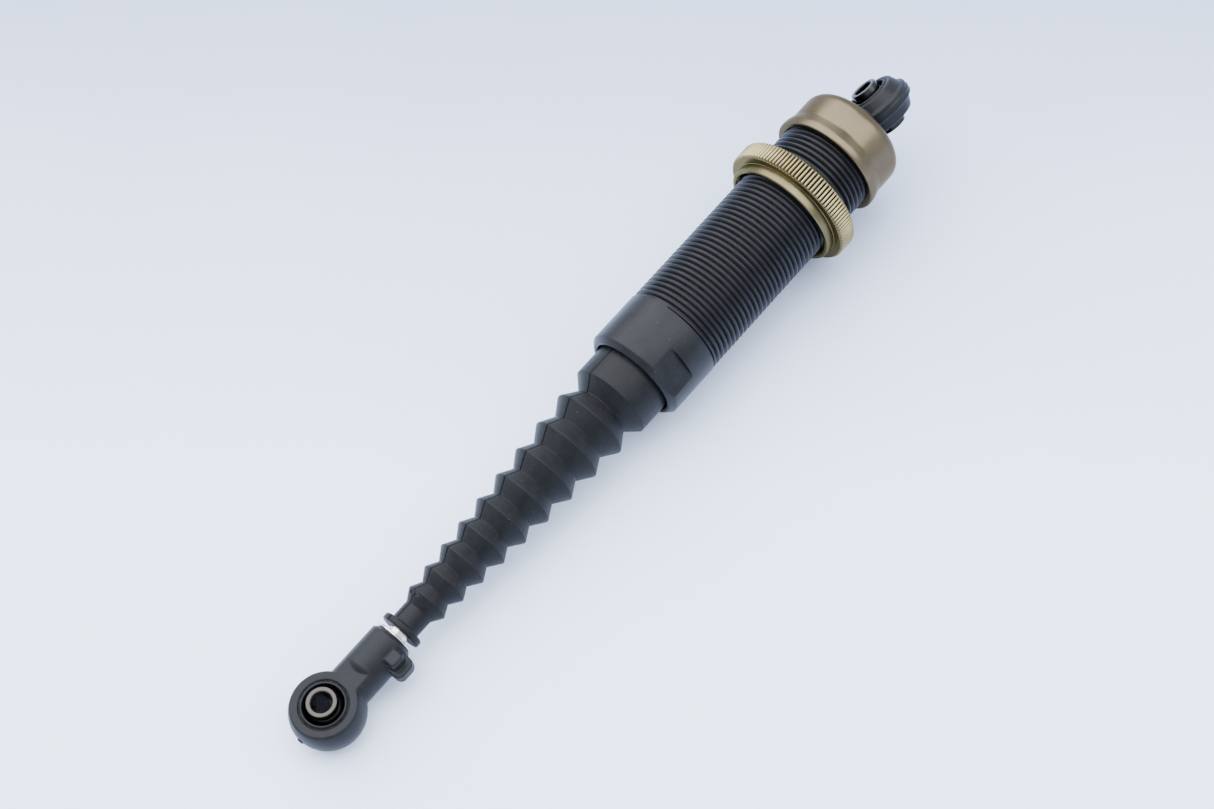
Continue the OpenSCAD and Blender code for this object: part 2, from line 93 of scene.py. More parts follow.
camera_data = bpy.data.cameras.new("camera")
camera_data.lens = LENS
camera_data.sensor_width = SENSOR_WIDTH
camera_data.clip_start = 0.01
camera = bpy.data.objects.new("camera", camera_data)
camera_up = RIGHT.cross(LOOK).normalized()
camera_turn = Matrix((RIGHT, camera_up, -LOOK)).transposed().to_4x4()
camera.matrix_world = Matrix.Translation(CAMERA_PLACE) @ camera_turn
bpy.context.collection.objects.link(camera)
bpy.context.scene.camera = camera
print("camera distance:", round(camera.location.length, 3), "m")

# %% [markdown]
# ## Floor
# The damper rests on the lower ball's collar and on the knurled nut, so the floor slopes a little against
# the damper's axis. The sheet is a plain grid, turned to that slope and laid a hair below the two
# contacts.

# %% Floor
ball_low, ball_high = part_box("lower_ball")
nut_low, nut_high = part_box("preload_nut")
rest_a = Vector((0, 0, ball_low.z))
rest_b = Vector(((nut_low.x + nut_high.x) / 2, 0, nut_low.z))
along_floor = (rest_b - rest_a).normalized()
floor_up = along_floor.cross(Vector((0, 1, 0))).normalized()
FLOOR_HALF = 3.0
FLOOR_GAP = 0.1

bm = bmesh.new()
bmesh.ops.create_grid(bm, x_segments=1, y_segments=1, size=FLOOR_HALF)
floor_turn = Vector((0, 0, 1)).rotation_difference(floor_up).to_matrix()
bmesh.ops.rotate(bm, verts=bm.verts, matrix=floor_turn)
bmesh.ops.translate(bm, verts=bm.verts, vec=rest_a - floor_up * FLOOR_GAP * MM)
floor_mesh = bpy.data.meshes.new("floor")
bm.to_mesh(floor_mesh)
bm.free()
floor = bpy.data.objects.new("floor", floor_mesh)
bpy.context.collection.objects.link(floor)
print("floor slope:", round(math.degrees(floor_up.angle(Vector((0, 0, 1)))), 2), "degrees")

# %% [markdown]
# ## Lights
# The light is that of a white tent: a bright bluish dome, one very large soft light from the upper left
# that makes the shadow, and a smaller panel that lays a soft pale patch on the cap. Large lights have
# soft edges, so dark metal and rubber show their shape without hard glints.

# %% Lights
LIGHT_COLOUR = (0.98, 0.985, 1.0)
DOME_COLOUR = (0.86, 0.915, 1.0)
DOME_STRENGTH = 2.1


def soft_light(name, place, size, power):
    """A rectangular area light at a place in metres, aimed at the middle of the damper."""
    data = bpy.data.lights.new(name, "AREA")
    data.shape = "RECTANGLE"
    data.size, data.size_y = size
    data.energy = power
    data.color = LIGHT_COLOUR
    light = bpy.data.objects.new(name, data)
    middle = Vector(((cad_low[0] + cad_high[0]) / 2, 0, 0))
    light.location = Vector(place)
    light.rotation_euler = (middle - light.location).to_track_quat("-Z", "Y").to_euler()
    bpy.context.collection.objects.link(light)


soft_light("key_light", place=(0.42, 1.1, 1.95), size=(3.6, 3.6), power=250)
soft_light("panel_light", place=(0.62, -0.5, 0.82), size=(0.55, 0.8), power=9)
world = bpy.data.worlds.new("studio")
bpy.context.scene.world = world
world.use_nodes = True
background = world.node_tree.nodes["Background"]
background.inputs["Color"].default_value = (*DOME_COLOUR, 1)
background.inputs["Strength"].default_value = DOME_STRENGTH
print("lights:", len(bpy.data.lights), "and a dome")

# %% [markdown]
# ## Helpers for making meshes
# Almost everything here was turned on a lathe or came out of a round mould, so one helper spins an
# outline about the X axis. The outline is a short list of corners. Each corner may carry a fillet, which
# the helper draws as an arc, because real edges are never perfectly sharp and a small rounding is what
# catches the light. A fillet takes at most 48 percent of the shorter side, so that two neighbours never
# meet.

# %% Outlines with rounded corners
LARGEST_SHARE = 0.48


def rounded(corners, arc_steps=4):
    """Corners of (along, radius, fillet) as plain points, with each fillet drawn as an arc."""
    points = []
    count = len(corners)
    for i, (along, radius, fillet) in enumerate(corners):
        here = Vector((along, radius))
        if fillet <= 0:
            points.append(here)
            continue
        back = Vector(corners[i - 1][:2]) - here
        ahead = Vector(corners[(i + 1) % count][:2]) - here
        half = back.angle(ahead) / 2
        cut = min(fillet / math.tan(half), LARGEST_SHARE * back.length, LARGEST_SHARE * ahead.length)
        size = cut * math.tan(half)
        centre = here + (back.normalized() + ahead.normalized()).normalized() * (size / math.sin(half))
        first = here + back.normalized() * cut - centre
        last = here + ahead.normalized() * cut - centre
        sweep = math.atan2(first.x * last.y - first.y * last.x, first.dot(last))
        for k in range(arc_steps + 1):
            points.append(centre + Matrix.Rotation(sweep * k / arc_steps, 2) @ first)
    return points


print("one rounded corner:", len(rounded([(0, 0, 0.2), (0, 1, 0), (1, 1, 0), (1, 0, 0)])) - 3, "points")

# %% [markdown]
# ## From a bmesh to a finished piece
# Every modelled piece ends the same way. Points that lie on each other are merged, all faces are turned
# outwards, and shading is smooth except across edges sharper than 32 degrees. Those stay crisp, as a
# turned step does.

# %% Finished pieces and spun loops
SHARP = math.radians(32)
MERGE_DISTANCE = 0.2e-6


def piece_from(bm, name, sharp=SHARP):
    """Merge, face outwards, mark sharp edges and make an object at the origin."""
    bmesh.ops.remove_doubles(bm, verts=bm.verts, dist=MERGE_DISTANCE)
    bmesh.ops.recalc_face_normals(bm, faces=bm.faces)
    for face in bm.faces:
        face.smooth = True
    for edge in bm.edges:
        edge.smooth = edge.calc_face_angle(0) < sharp
    mesh = bpy.data.meshes.new(name)
    bm.to_mesh(mesh)
    bm.free()
    piece = bpy.data.objects.new(name, mesh)
    bpy.context.collection.objects.link(piece)
    print(name, len(mesh.polygons), "faces")
    return piece


def spin_loop(bm, points, steps):
    """Spin a closed loop of (along, radius) points, in millimetres, once about the X axis."""
    ring = [bm.verts.new((along * MM, 0, radius * MM)) for along, radius in points]
    sides = [bm.edges.new(pair) for pair in zip(ring, ring[1:] + ring[:1])]
    bmesh.ops.spin(bm, geom=ring + sides, cent=(0, 0, 0), axis=(1, 0, 0), dvec=(0, 0, 0),
                   angle=math.tau, steps=steps, use_merge=True, use_duplicate=False)


def radius_of(place):
    """Distance from the damper's axis."""
    return math.hypot(place.y, place.z)


# %% [markdown]
# ## Helpers for finishes
# Every finish starts from the Principled shader and Object coordinates. Object coordinates stay fixed to
# a piece while it moves, so grain and tool marks don't slide. Tool marks left by a lathe run round the
# axis: they depend only on the place along the axis and on the distance from it, and so does the pattern
# that draws them.

# %% Finish helpers
def new_finish(name, colour, metallic, roughness, gloss=0.5):
    """A material, its node tree, its shader and its coordinates. Gloss is a non-metal's mirror strength."""
    made = bpy.data.materials.new(name)
    made.use_nodes = True
    tree = made.node_tree
    shader = tree.nodes["Principled BSDF"]
    shader.inputs["Base Color"].default_value = (*colour, 1)
    shader.inputs["Metallic"].default_value = metallic
    shader.inputs["Roughness"].default_value = roughness
    shader.inputs["Specular IOR Level"].default_value = gloss
    place = tree.nodes.new("ShaderNodeTexCoord").outputs["Object"]
    return made, tree, shader, place


def put(tree, socket, value):
    """Link or set one input."""
    if isinstance(value, bpy.types.NodeSocket):
        tree.links.new(value, socket)
    else:
        socket.default_value = value


def maths(tree, operation, a, b=0.0, clamp=False):
    """The result of one sum, product or root of two inputs."""
    made = tree.nodes.new("ShaderNodeMath")
    made.operation = operation
    made.use_clamp = clamp
    put(tree, made.inputs[0], a)
    put(tree, made.inputs[1], b)
    return made.outputs[0]


def noise_of(tree, place, scale, detail=3.0, roughness=0.55):
    """Fine cloudy noise between 0 and 1, with scale in features per metre."""
    made = tree.nodes.new("ShaderNodeTexNoise")
    put(tree, made.inputs["Vector"], place)
    made.inputs["Scale"].default_value = scale
    made.inputs["Detail"].default_value = detail
    made.inputs["Roughness"].default_value = roughness
    return made.outputs["Fac"]


print("materials before the first finish:", len(bpy.data.materials))

# %% [markdown]
# Patterns come next: coordinates that only a lathe's marks follow, a map from one range to another, a mix
# of two colours, a bump of a known depth in metres, and fine specks of dust.

# %% Pattern helpers
def lathe_place(tree, place):
    """Coordinates that are the same all round the axis: along it, and away from it."""
    apart = tree.nodes.new("ShaderNodeSeparateXYZ")
    put(tree, apart.inputs[0], place)
    y_squared = maths(tree, "MULTIPLY", apart.outputs[1], apart.outputs[1])
    z_squared = maths(tree, "MULTIPLY", apart.outputs[2], apart.outputs[2])
    away = maths(tree, "SQRT", maths(tree, "ADD", y_squared, z_squared))
    joined = tree.nodes.new("ShaderNodeCombineXYZ")
    put(tree, joined.inputs[0], apart.outputs[0])
    put(tree, joined.inputs[1], away)
    return joined.outputs[0], away


def between(tree, value, low, high, to_low, to_high):
    """Map a value from one range to another, without passing the ends."""
    made = tree.nodes.new("ShaderNodeMapRange")
    for socket, number in zip(made.inputs, (value, low, high, to_low, to_high)):
        put(tree, socket, number)
    return made.outputs[0]


def mixed(tree, share, colour_a, colour_b):
    """A colour between two, by a share from 0 to 1."""
    made = tree.nodes.new("ShaderNodeMix")
    made.data_type = "RGBA"
    put(tree, made.inputs[0], share)
    for socket, colour in ((made.inputs[6], colour_a), (made.inputs[7], colour_b)):
        put(tree, socket, (*colour, 1) if isinstance(colour, tuple) else colour)
    return made.outputs[2]


def bumped(tree, shader, height, distance, strength=1.0, under=None):
    """A bump of a given depth in metres, laid over another one if there is one."""
    made = tree.nodes.new("ShaderNodeBump")
    made.inputs["Distance"].default_value = distance
    made.inputs["Strength"].default_value = strength
    put(tree, made.inputs["Height"], height)
    if under is not None:
        put(tree, made.inputs["Normal"], under)
    put(tree, shader.inputs["Normal"], made.outputs[0])
    return made.outputs[0]


DUST_SCALE = 1700
DUST_COLOUR = (0.20, 0.21, 0.23)


def dusted(tree, place, colour, dust):
    """A colour with fine specks of pale dust on it. Dust is the share of grey in a speck."""
    specks = between(tree, noise_of(tree, place, DUST_SCALE, 2, 0.8), 0.70, 0.76, 0.0, dust)
    return mixed(tree, specks, colour, DUST_COLOUR)


# %% [markdown]
# ## Anodised aluminium
# Anodising is a thin oxide layer dyed to a colour. The metal below keeps its turning marks, so the sheen
# runs in fine rings, and the bead-blasted surface spreads the reflection. One helper makes them all, and
# bare aluminium and bearing bronze too, because they carry the same marks without the dye.

# %% Anodised finishes
def anodised(name, colour, pale, roughness, metallic, grain, marks, gloss=0.5, dust=0.0):
    """A dyed oxide layer: cloudy colour, rings from the lathe and a fine blasted grain."""
    made, tree, shader, place = new_finish(name, colour, metallic, roughness, gloss)
    rings, _ = lathe_place(tree, place)
    cloud = noise_of(tree, place, 260, 4)
    ring_noise = noise_of(tree, rings, 5200, 2, 0.7)
    fine = noise_of(tree, place, 9000, 2)
    share = between(tree, cloud, 0.3, 0.75, 0.0, 1.0)
    put(tree, shader.inputs["Base Color"], dusted(tree, place, mixed(tree, share, colour, pale), dust))
    rough = maths(tree, "ADD", between(tree, ring_noise, 0.3, 0.7, roughness - 0.05, roughness + 0.05),
                  between(tree, cloud, 0.3, 0.7, -0.03, 0.03))
    put(tree, shader.inputs["Roughness"], rough)
    first = bumped(tree, shader, fine, grain)
    bumped(tree, shader, ring_noise, marks, 1.0, first)
    return made


finishes = {}
finishes["black_anodised"] = anodised(
    "black anodised", (0.0062, 0.0066, 0.0082), (0.0100, 0.0106, 0.0130),
    roughness=0.38, metallic=0.3, grain=6e-6, marks=3e-6, gloss=0.17, dust=0.25)
finishes["bronze_anodised"] = anodised(
    "bronze anodised", (0.088, 0.070, 0.045), (0.106, 0.086, 0.058),
    roughness=0.32, metallic=1.0, grain=2e-6, marks=0.3e-6)
finishes["gold_anodised"] = anodised(
    "gold anodised", (0.094, 0.080, 0.043), (0.116, 0.100, 0.056),
    roughness=0.29, metallic=1.0, grain=2e-6, marks=1e-6)
finishes["plain_aluminium"] = anodised(
    "turned aluminium", (0.42, 0.42, 0.43), (0.5, 0.5, 0.51),
    roughness=0.32, metallic=1.0, grain=2e-6, marks=6e-6)
finishes["bearing_bronze"] = anodised(
    "bearing bronze", (0.36, 0.22, 0.09), (0.42, 0.27, 0.12),
    roughness=0.42, metallic=1.0, grain=8e-6, marks=2e-6)
print("turned finishes:", sorted(finishes))

# %% [markdown]
# ## Worn and highlighted tips, and tinted glints
# The gold is paler beyond a certain distance from the axis, which only the knurl's tips reach: partly
# the wear where fingers rub the tips first, partly a painted highlight on the crests. A dyed layer also
# colours what it mirrors at a grazing angle, where bare metal turns white.

# %% Worn and highlighted tips, and tinted glints
PALE_TIPS_FROM = 17.15
PALE_TIPS_TO = 17.45
WORN_AND_HIGHLIT_GOLD = (0.235, 0.198, 0.108)
EDGE_TINTS = {"bronze_anodised": (0.80, 0.72, 0.60, 1), "gold_anodised": (0.82, 0.76, 0.58, 1)}

tree = finishes["gold_anodised"].node_tree
shader = tree.nodes["Principled BSDF"]
plain = shader.inputs["Base Color"].links[0].from_socket
_, away = lathe_place(tree, tree.nodes.new("ShaderNodeTexCoord").outputs["Object"])
# painted highlight and wear: the knurl's tips get a paler gold, partly rubbed by fingers, partly painted
# light on the crests
wear_and_highlight = between(tree, away, PALE_TIPS_FROM * MM, PALE_TIPS_TO * MM, 0.0, 1.0)
put(tree, shader.inputs["Base Color"], mixed(tree, wear_and_highlight, plain, WORN_AND_HIGHLIT_GOLD))
for name, tint in EDGE_TINTS.items():
    finishes[name].node_tree.nodes["Principled BSDF"].inputs["Specular Tint"].default_value = tint
print("gold is worn beyond", PALE_TIPS_FROM, "mm from the axis")

# %% [markdown]
# ## Steel
# The rod is ground and polished, so it is nearly a mirror with faint rings, and so is the thin washer on
# the lower eye's shank. The piston's clips are plain spring steel. The balls are blackened steel with a
# faint sheen.

# %% Steel finishes
def steel(name, colour, roughness, marks):
    """Turned or ground steel: uneven gloss, faint darker smears and fine rings."""
    made, tree, shader, place = new_finish(name, colour, 1.0, roughness)
    rings, _ = lathe_place(tree, place)
    ring_noise = noise_of(tree, rings, 9000, 2, 0.7)
    smear = noise_of(tree, place, 700, 4)
    rough = maths(tree, "ADD", between(tree, smear, 0.3, 0.7, roughness - 0.04, roughness + 0.06),
                  between(tree, ring_noise, 0.3, 0.7, -0.02, 0.03))
    put(tree, shader.inputs["Roughness"], rough)
    darker = tuple(0.82 * c for c in colour)
    share = between(tree, smear, 0.35, 0.7, 0.0, 1.0)
    put(tree, shader.inputs["Base Color"], mixed(tree, share, colour, darker))
    bumped(tree, shader, ring_noise, marks)
    return made


finishes["polished_steel"] = steel("polished steel", (0.62, 0.61, 0.58), roughness=0.14, marks=1.5e-6)
finishes["spring_steel"] = steel("spring steel", (0.24, 0.24, 0.25), roughness=0.33, marks=3e-6)
finishes["ball_steel"] = steel("ball steel", (0.034, 0.033, 0.032), roughness=0.30, marks=3e-6)
print("finishes so far:", len(finishes))

# %% [markdown]
# ## Bare end faces
# The balls are blackened all over and their end faces are then ground flat, which bares the steel. The
# faces can't be told from the pattern alone, so each ball's mesh carries a number, `bare`, that is 1
# there.

# %% Bare end faces
BARE_STEEL = (0.048, 0.045, 0.040)

tree = finishes["ball_steel"].node_tree
shader = tree.nodes["Principled BSDF"]
bare = tree.nodes.new("ShaderNodeAttribute")
bare.attribute_name = "bare"
black = shader.inputs["Base Color"].links[0].from_socket
put(tree, shader.inputs["Base Color"], mixed(tree, bare.outputs["Fac"], black, BARE_STEEL))
print("bare steel colour:", BARE_STEEL)

# %% [markdown]
# ## Nylon, rubber and acetal
# The nylon eyes hold glass fibre: their skin is satin with a faint cloudy mottle. The boot's rubber is
# duller and catches specks of dust. The seals and the white piston are moulded too, so the same helper
# makes them.

# %% Moulded finishes
def moulded(name, colour, pale, roughness, grain_scale, grain, gloss=0.5, dust=0.0):
    """A moulded skin: mottled colour, uneven gloss and a fine grain."""
    made, tree, shader, place = new_finish(name, colour, 0.0, roughness, gloss)
    mottle = noise_of(tree, place, 420, 5, 0.6)
    fine = noise_of(tree, place, grain_scale, 3, 0.6)
    plain = mixed(tree, between(tree, mottle, 0.3, 0.72, 0.0, 1.0), colour, pale)
    put(tree, shader.inputs["Base Color"], dusted(tree, place, plain, dust))
    rough = maths(tree, "ADD", between(tree, mottle, 0.3, 0.7, roughness - 0.05, roughness + 0.05),
                  between(tree, fine, 0.3, 0.7, -0.04, 0.04))
    put(tree, shader.inputs["Roughness"], rough)
    bumped(tree, shader, fine, grain)
    return made


finishes["black_nylon"] = moulded(
    "black nylon", (0.0056, 0.0060, 0.0078), (0.0092, 0.0099, 0.0125),
    roughness=0.42, grain_scale=5200, grain=9e-6, gloss=0.13, dust=0.12)
finishes["black_seal"] = moulded(
    "black seal rubber", (0.010, 0.010, 0.010), (0.014, 0.014, 0.014),
    roughness=0.5, grain_scale=6000, grain=6e-6, gloss=0.3)
finishes["red_seal"] = moulded(
    "red seal rubber", (0.20, 0.02, 0.012), (0.25, 0.035, 0.02),
    roughness=0.4, grain_scale=6000, grain=5e-6)
finishes["white_acetal"] = moulded(
    "white acetal", (0.62, 0.61, 0.57), (0.68, 0.67, 0.63),
    roughness=0.38, grain_scale=4000, grain=5e-6)
finishes["boot_rubber"] = moulded(
    "boot rubber", (0.0036, 0.0039, 0.0050), (0.0064, 0.0069, 0.0088),
    roughness=0.46, grain_scale=6500, grain=10e-6, gloss=0.12, dust=0.3)
print("finishes:", len(finishes))

# %% [markdown]
# ## Dress the frame
# The record names a material slot for each node, so one loop gives every exact part its finish. Later
# cells replace the nodes that need more shape than the frame holds.

# %% Dress the exact parts
slot_of = {row["node"]: row["material_slot"] for row in frame["record"]["subparts"]}
for name, part in nodes.items():
    part.data.materials.clear()
    part.data.materials.append(finishes[slot_of[name]])


def settle(piece, body, node_name):
    """Give a new piece its finish, the body it moves with and the node it stands for."""
    piece.data.materials.append(finishes[slot_of[node_name]])
    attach(piece, body)
    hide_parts(node_name)


print("dressed", len(nodes), "nodes")

# %% [markdown]
# ## The floor's finish
# A sheet of white acrylic: nearly matt, with a trace of gloss. Its colour falls off slowly away from the
# lower eye: a painted shade for the light that grows weaker towards the tent's far wall.

# %% Floor finish
AWAY_X = 0.796
AWAY_Y = 0.606
PAINTED_SHADE_FROM = 0.06
PAINTED_SHADE_TO = 0.24
NEAR_WHITE = (0.68, 0.775, 1.0)
FAR_PAINTED_SHADE = (0.28, 0.345, 0.54)

floor_finish, tree, shader, place = new_finish(
    "white sheet", (0.80, 0.82, 0.86), metallic=0.0, roughness=0.55, gloss=0.3)
apart = tree.nodes.new("ShaderNodeSeparateXYZ")
put(tree, apart.inputs[0], place)
away = maths(tree, "ADD", maths(tree, "MULTIPLY", apart.outputs[0], AWAY_X),
             maths(tree, "MULTIPLY", apart.outputs[1], AWAY_Y))
patch = between(tree, noise_of(tree, place, 14, 3), 0.3, 0.7, -0.03, 0.03)
# painted shade: the sheet's colour darkens away from the lower eye, with faint random patches
painted_shade_share = maths(tree, "ADD", between(tree, away, PAINTED_SHADE_FROM, PAINTED_SHADE_TO, 0.0, 1.0), patch, clamp=True)
put(tree, shader.inputs["Base Color"], mixed(tree, painted_shade_share, NEAR_WHITE, FAR_PAINTED_SHADE))
floor.data.materials.append(floor_finish)
print("the sheet darkens from", PAINTED_SHADE_FROM, "to", PAINTED_SHADE_TO, "m away")

# %% [markdown]
# ## The threaded body
# The body is one aluminium tube: a recess for the boot, a plain band with two wrench flats, a long
# outside thread and a land for the cap's seal. Inside are the oil's bore, a wall that guides the rod and
# a wider bore for the seals. The tube is spun as one closed outline, and its fillets stand for the small
# chamfers of a turned part.

# %% Body tube
body_low, body_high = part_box("shock_body")
BODY_X = body_low.x / MM
BODY_TOP = body_high.x / MM
BODY_R = 13.1
BODY_CHAMFER = 1.3
PITCH = 1.5
THREAD_R = 13.0
THREAD_DEPTH = 0.8
CORE_R = THREAD_R - THREAD_DEPTH
THREAD_X = BODY_X + 15.7
BODY_STEPS = 192
LAND_X = BODY_TOP - 3.5
LAND_R = THREAD_R - 0.4
RECESS_R = 10.9
RECESS_X = BODY_X + 4
OIL_R = 9.5
OIL_X = BODY_X + 17
GUIDE_R = 2.9
GUIDE_X = BODY_X + 14.8
SEAL_R = 8.5
STEP_R = OIL_R + 1.1
STEP_X = BODY_TOP - 1.2
FLAT_END = BODY_X + 8.2

body_outline = rounded([
    (BODY_X, RECESS_R, 0.4), (BODY_X, BODY_R - BODY_CHAMFER, 0.25), (BODY_X + BODY_CHAMFER, BODY_R, 0.7),
    (FLAT_END, BODY_R, 0), (FLAT_END + 0.12, BODY_R, 0), (THREAD_X - 0.35, BODY_R, 0.12),
    (THREAD_X - 0.3, CORE_R, 0), (LAND_X, CORE_R, 0), (LAND_X, LAND_R, 0.1), (BODY_TOP, LAND_R, 0.2),
    (BODY_TOP, STEP_R, 0.1), (STEP_X, STEP_R, 0), (STEP_X, OIL_R, 0), (OIL_X, OIL_R, 0.3),
    (OIL_X, GUIDE_R, 0), (GUIDE_X, GUIDE_R, 0), (GUIDE_X, SEAL_R, 0), (RECESS_X, SEAL_R, 0),
    (RECESS_X, RECESS_R, 0.3)])
bm = bmesh.new()
spin_loop(bm, body_outline, BODY_STEPS)
print("body outline:", len(body_outline), "points")

# %% [markdown]
# ## Wrench flats
# Two flats on the plain band take a wrench. A mill cuts them, and so does this cell: a plane splits the
# band's faces where the cutter would enter, and every point beyond the plane is pressed back onto it.

# %% Wrench flats
FLAT_AWAY = 12.15
FLAT_TURN = math.radians(55)
OUTSIDE_R = 12
CUT_TOLERANCE = 1e-7

reach = (FLAT_END + 0.01) * MM
for side in (1, -1):
    away = Vector((0, -math.sin(FLAT_TURN), math.cos(FLAT_TURN))) * side
    faces = [f for f in bm.faces if all(v.co.x < reach for v in f.verts)
             and max(radius_of(v.co) for v in f.verts) > OUTSIDE_R * MM]
    edges = {e for f in faces for e in f.edges}
    corners = {v for f in faces for v in f.verts}
    bmesh.ops.bisect_plane(bm, geom=list(corners) + list(edges) + faces, dist=CUT_TOLERANCE,
                           plane_co=away * FLAT_AWAY * MM, plane_no=away)
    for v in bm.verts:
        beyond = v.co.dot(away) - FLAT_AWAY * MM
        if v.co.x < reach and beyond > 0:
            v.co -= away * beyond
print("wrench flats:", round(2 * FLAT_AWAY, 1), "mm apart")

# %% [markdown]
# ## The thread
# The thread could be a texture or a row of grooves, but a real thread climbs, and that shows where it
# meets the band and the cap. So a ridge of the true section is swept along a helix: a spin that also
# moves a little along the axis with each step. One turn is made, repeated end to end and closed at both
# ends.

# %% Thread ridge
STEPS = 96
TURNS = int((LAND_X - THREAD_X) / PITCH)
RIDGE_START = THREAD_X + 0.1
RIDGE_BASE = 0.66
RIDGE_TIP = 0.19
RIDGE_SINK = 0.05
TIP_FILLET = 0.09
WELD_DISTANCE = 2e-6

ridge = rounded([
    (-RIDGE_BASE, CORE_R - RIDGE_SINK, 0), (-RIDGE_TIP, THREAD_R, TIP_FILLET),
    (RIDGE_TIP, THREAD_R, TIP_FILLET), (RIDGE_BASE, CORE_R - RIDGE_SINK, 0)], 2)
one_turn = bmesh.new()
ring = [one_turn.verts.new(((RIDGE_START + along) * MM, 0, radius * MM)) for along, radius in ridge]
sides = [one_turn.edges.new(pair) for pair in zip(ring, ring[1:] + ring[:1])]
bmesh.ops.spin(one_turn, geom=ring + sides, cent=(0, 0, 0), axis=(1, 0, 0), dvec=(PITCH * MM / STEPS, 0, 0),
               angle=math.tau, steps=STEPS, use_merge=False, use_duplicate=False)
turn_mesh = bpy.data.meshes.new("one_turn")
one_turn.to_mesh(turn_mesh)
one_turn.free()
thread = bmesh.new()
for k in range(TURNS):
    before = len(thread.verts)
    thread.from_mesh(turn_mesh)
    thread.verts.ensure_lookup_table()
    bmesh.ops.translate(thread, verts=thread.verts[before:], vec=(k * PITCH * MM, 0, 0))
bmesh.ops.remove_doubles(thread, verts=thread.verts, dist=WELD_DISTANCE)
bmesh.ops.holes_fill(thread, edges=[e for e in thread.edges if e.is_boundary], sides=0)
thread_mesh = bpy.data.meshes.new("thread")
thread.to_mesh(thread_mesh)
thread.free()
bm.from_mesh(thread_mesh)
body_tube = piece_from(bm, "body_tube")
settle(body_tube, "damper_body", "shock_body")
print("thread:", TURNS, "turns of", PITCH, "mm")

# %% [markdown]
# ## The rubber boot
# The boot is one moulding: a flange, a neck that grips the rod, nine folds that grow towards the body,
# and a collar under the body's edge. On the real damper the folds close up as the rod goes in. So the
# boot is three pieces that meet edge to edge: the neck travels with the rod, and the folds and the
# collar stay. The folds' lengths and crests grow evenly, as they do on the real boot.

# %% Boot measures
boot_low, boot_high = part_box("boot")
BOOT_X = boot_low.x / MM
BELLOWS_X = BOOT_X + 6.5
COLLAR_X = BODY_X - 7.8
BOOT_END = boot_high.x / MM
NECK_R = 3.7
FLANGE_R = 5.3
COLLAR_R = boot_high.z / MM
BOOT_BORE_R = 2.53
WALL = 0.8
FOLDS = 9
FOLD_GROWTH = 0.0626
FIRST_CREST_R = 5.5
LAST_CREST_R = 10.0
LAST_ROOT_R = 7.15
ROOT_CURVE = 1.15
HALF_FOLD = 3.4
FOLD_LENGTH = (COLLAR_X - HALF_FOLD - BELLOWS_X) / (FOLDS + FOLD_GROWTH * FOLDS * (FOLDS - 1) / 2)


def root(k):
    """Place and radius of the root before fold k."""
    share = min(k / (FOLDS - 1), 1)
    return (BELLOWS_X + FOLD_LENGTH * (k + FOLD_GROWTH * k * (k - 1) / 2),
            NECK_R + (LAST_ROOT_R - NECK_R) * share ** ROOT_CURVE if k else NECK_R)


def crest(k):
    """Place and radius of the crest of fold k."""
    return ((root(k)[0] + root(k + 1)[0]) / 2,
            FIRST_CREST_R + (LAST_CREST_R - FIRST_CREST_R) * k / (FOLDS - 1))


last_fold_length = root(FOLDS)[0] - root(FOLDS - 1)[0]
print("first fold:", round(FOLD_LENGTH, 2), "mm, last fold:", round(last_fold_length, 2), "mm")

# %% [markdown]
# ## Parting lines and the mould's pit
# The two halves of the mould leave a parting line on both sides, and a small oval pit where it meets the
# first fold. Both are shaped in the mesh, not in a texture: one column of points is drawn in for the
# line, and the points inside the oval are lowered for the pit.

# %% Boot helpers
SEAM_TURN = math.radians(27)
SEAM_DEPTH = 0.45
BOOT_STEPS = 192
BOOT_SHARP = math.radians(50)
PIT_WIDTH = math.radians(20)
PIT_LENGTH = 0.75
PIT_DEPTH = 0.55
PIT_X = crest(0)[0] - 0.85
ON_SEAM = 1e-7


def pit_depth(place):
    """Depth of the small oval pit that the mould leaves where its parting line meets the first fold."""
    across = math.atan2(place.y, place.z) / PIT_WIDTH
    along = (place.x / MM - PIT_X) / PIT_LENGTH
    return PIT_DEPTH * MM * math.sqrt(max(0.0, 1 - across ** 2 - along ** 2))


def boot_piece(name, outline, body):
    """Spin one stretch of the boot, draw in its parting lines and its pit, and hand it over."""
    bm = bmesh.new()
    spin_loop(bm, outline, BOOT_STEPS)
    bmesh.ops.remove_doubles(bm, verts=bm.verts, dist=MERGE_DISTANCE)
    for v in bm.verts:
        radius = radius_of(v.co)
        if abs(v.co.y) < ON_SEAM and radius > (BOOT_BORE_R + WALL) * MM:
            v.co.z -= math.copysign(SEAM_DEPTH * MM, v.co.z)
        if radius > crest(0)[1] * MM - WALL * MM:
            v.co.yz = v.co.yz * (1 - pit_depth(v.co) / radius)
    bmesh.ops.rotate(bm, verts=bm.verts, cent=(0, 0, 0), matrix=Matrix.Rotation(-SEAM_TURN, 3, "X"))
    piece = piece_from(bm, name, BOOT_SHARP)
    settle(piece, body, "boot")
    return piece


print("pit:", PIT_DEPTH, "mm deep on the first fold")

# %% [markdown]
# ## The boot's three pieces
# Each piece is spun from its own outline, and the outlines share their end points, so no gap shows. The
# first fold gets extra points along its flank, which the pit needs.

# %% Boot outlines
FLANGE_X = BOOT_X + 1.7
FLANK_POINTS = 12
COLLAR_WALL = 1.0

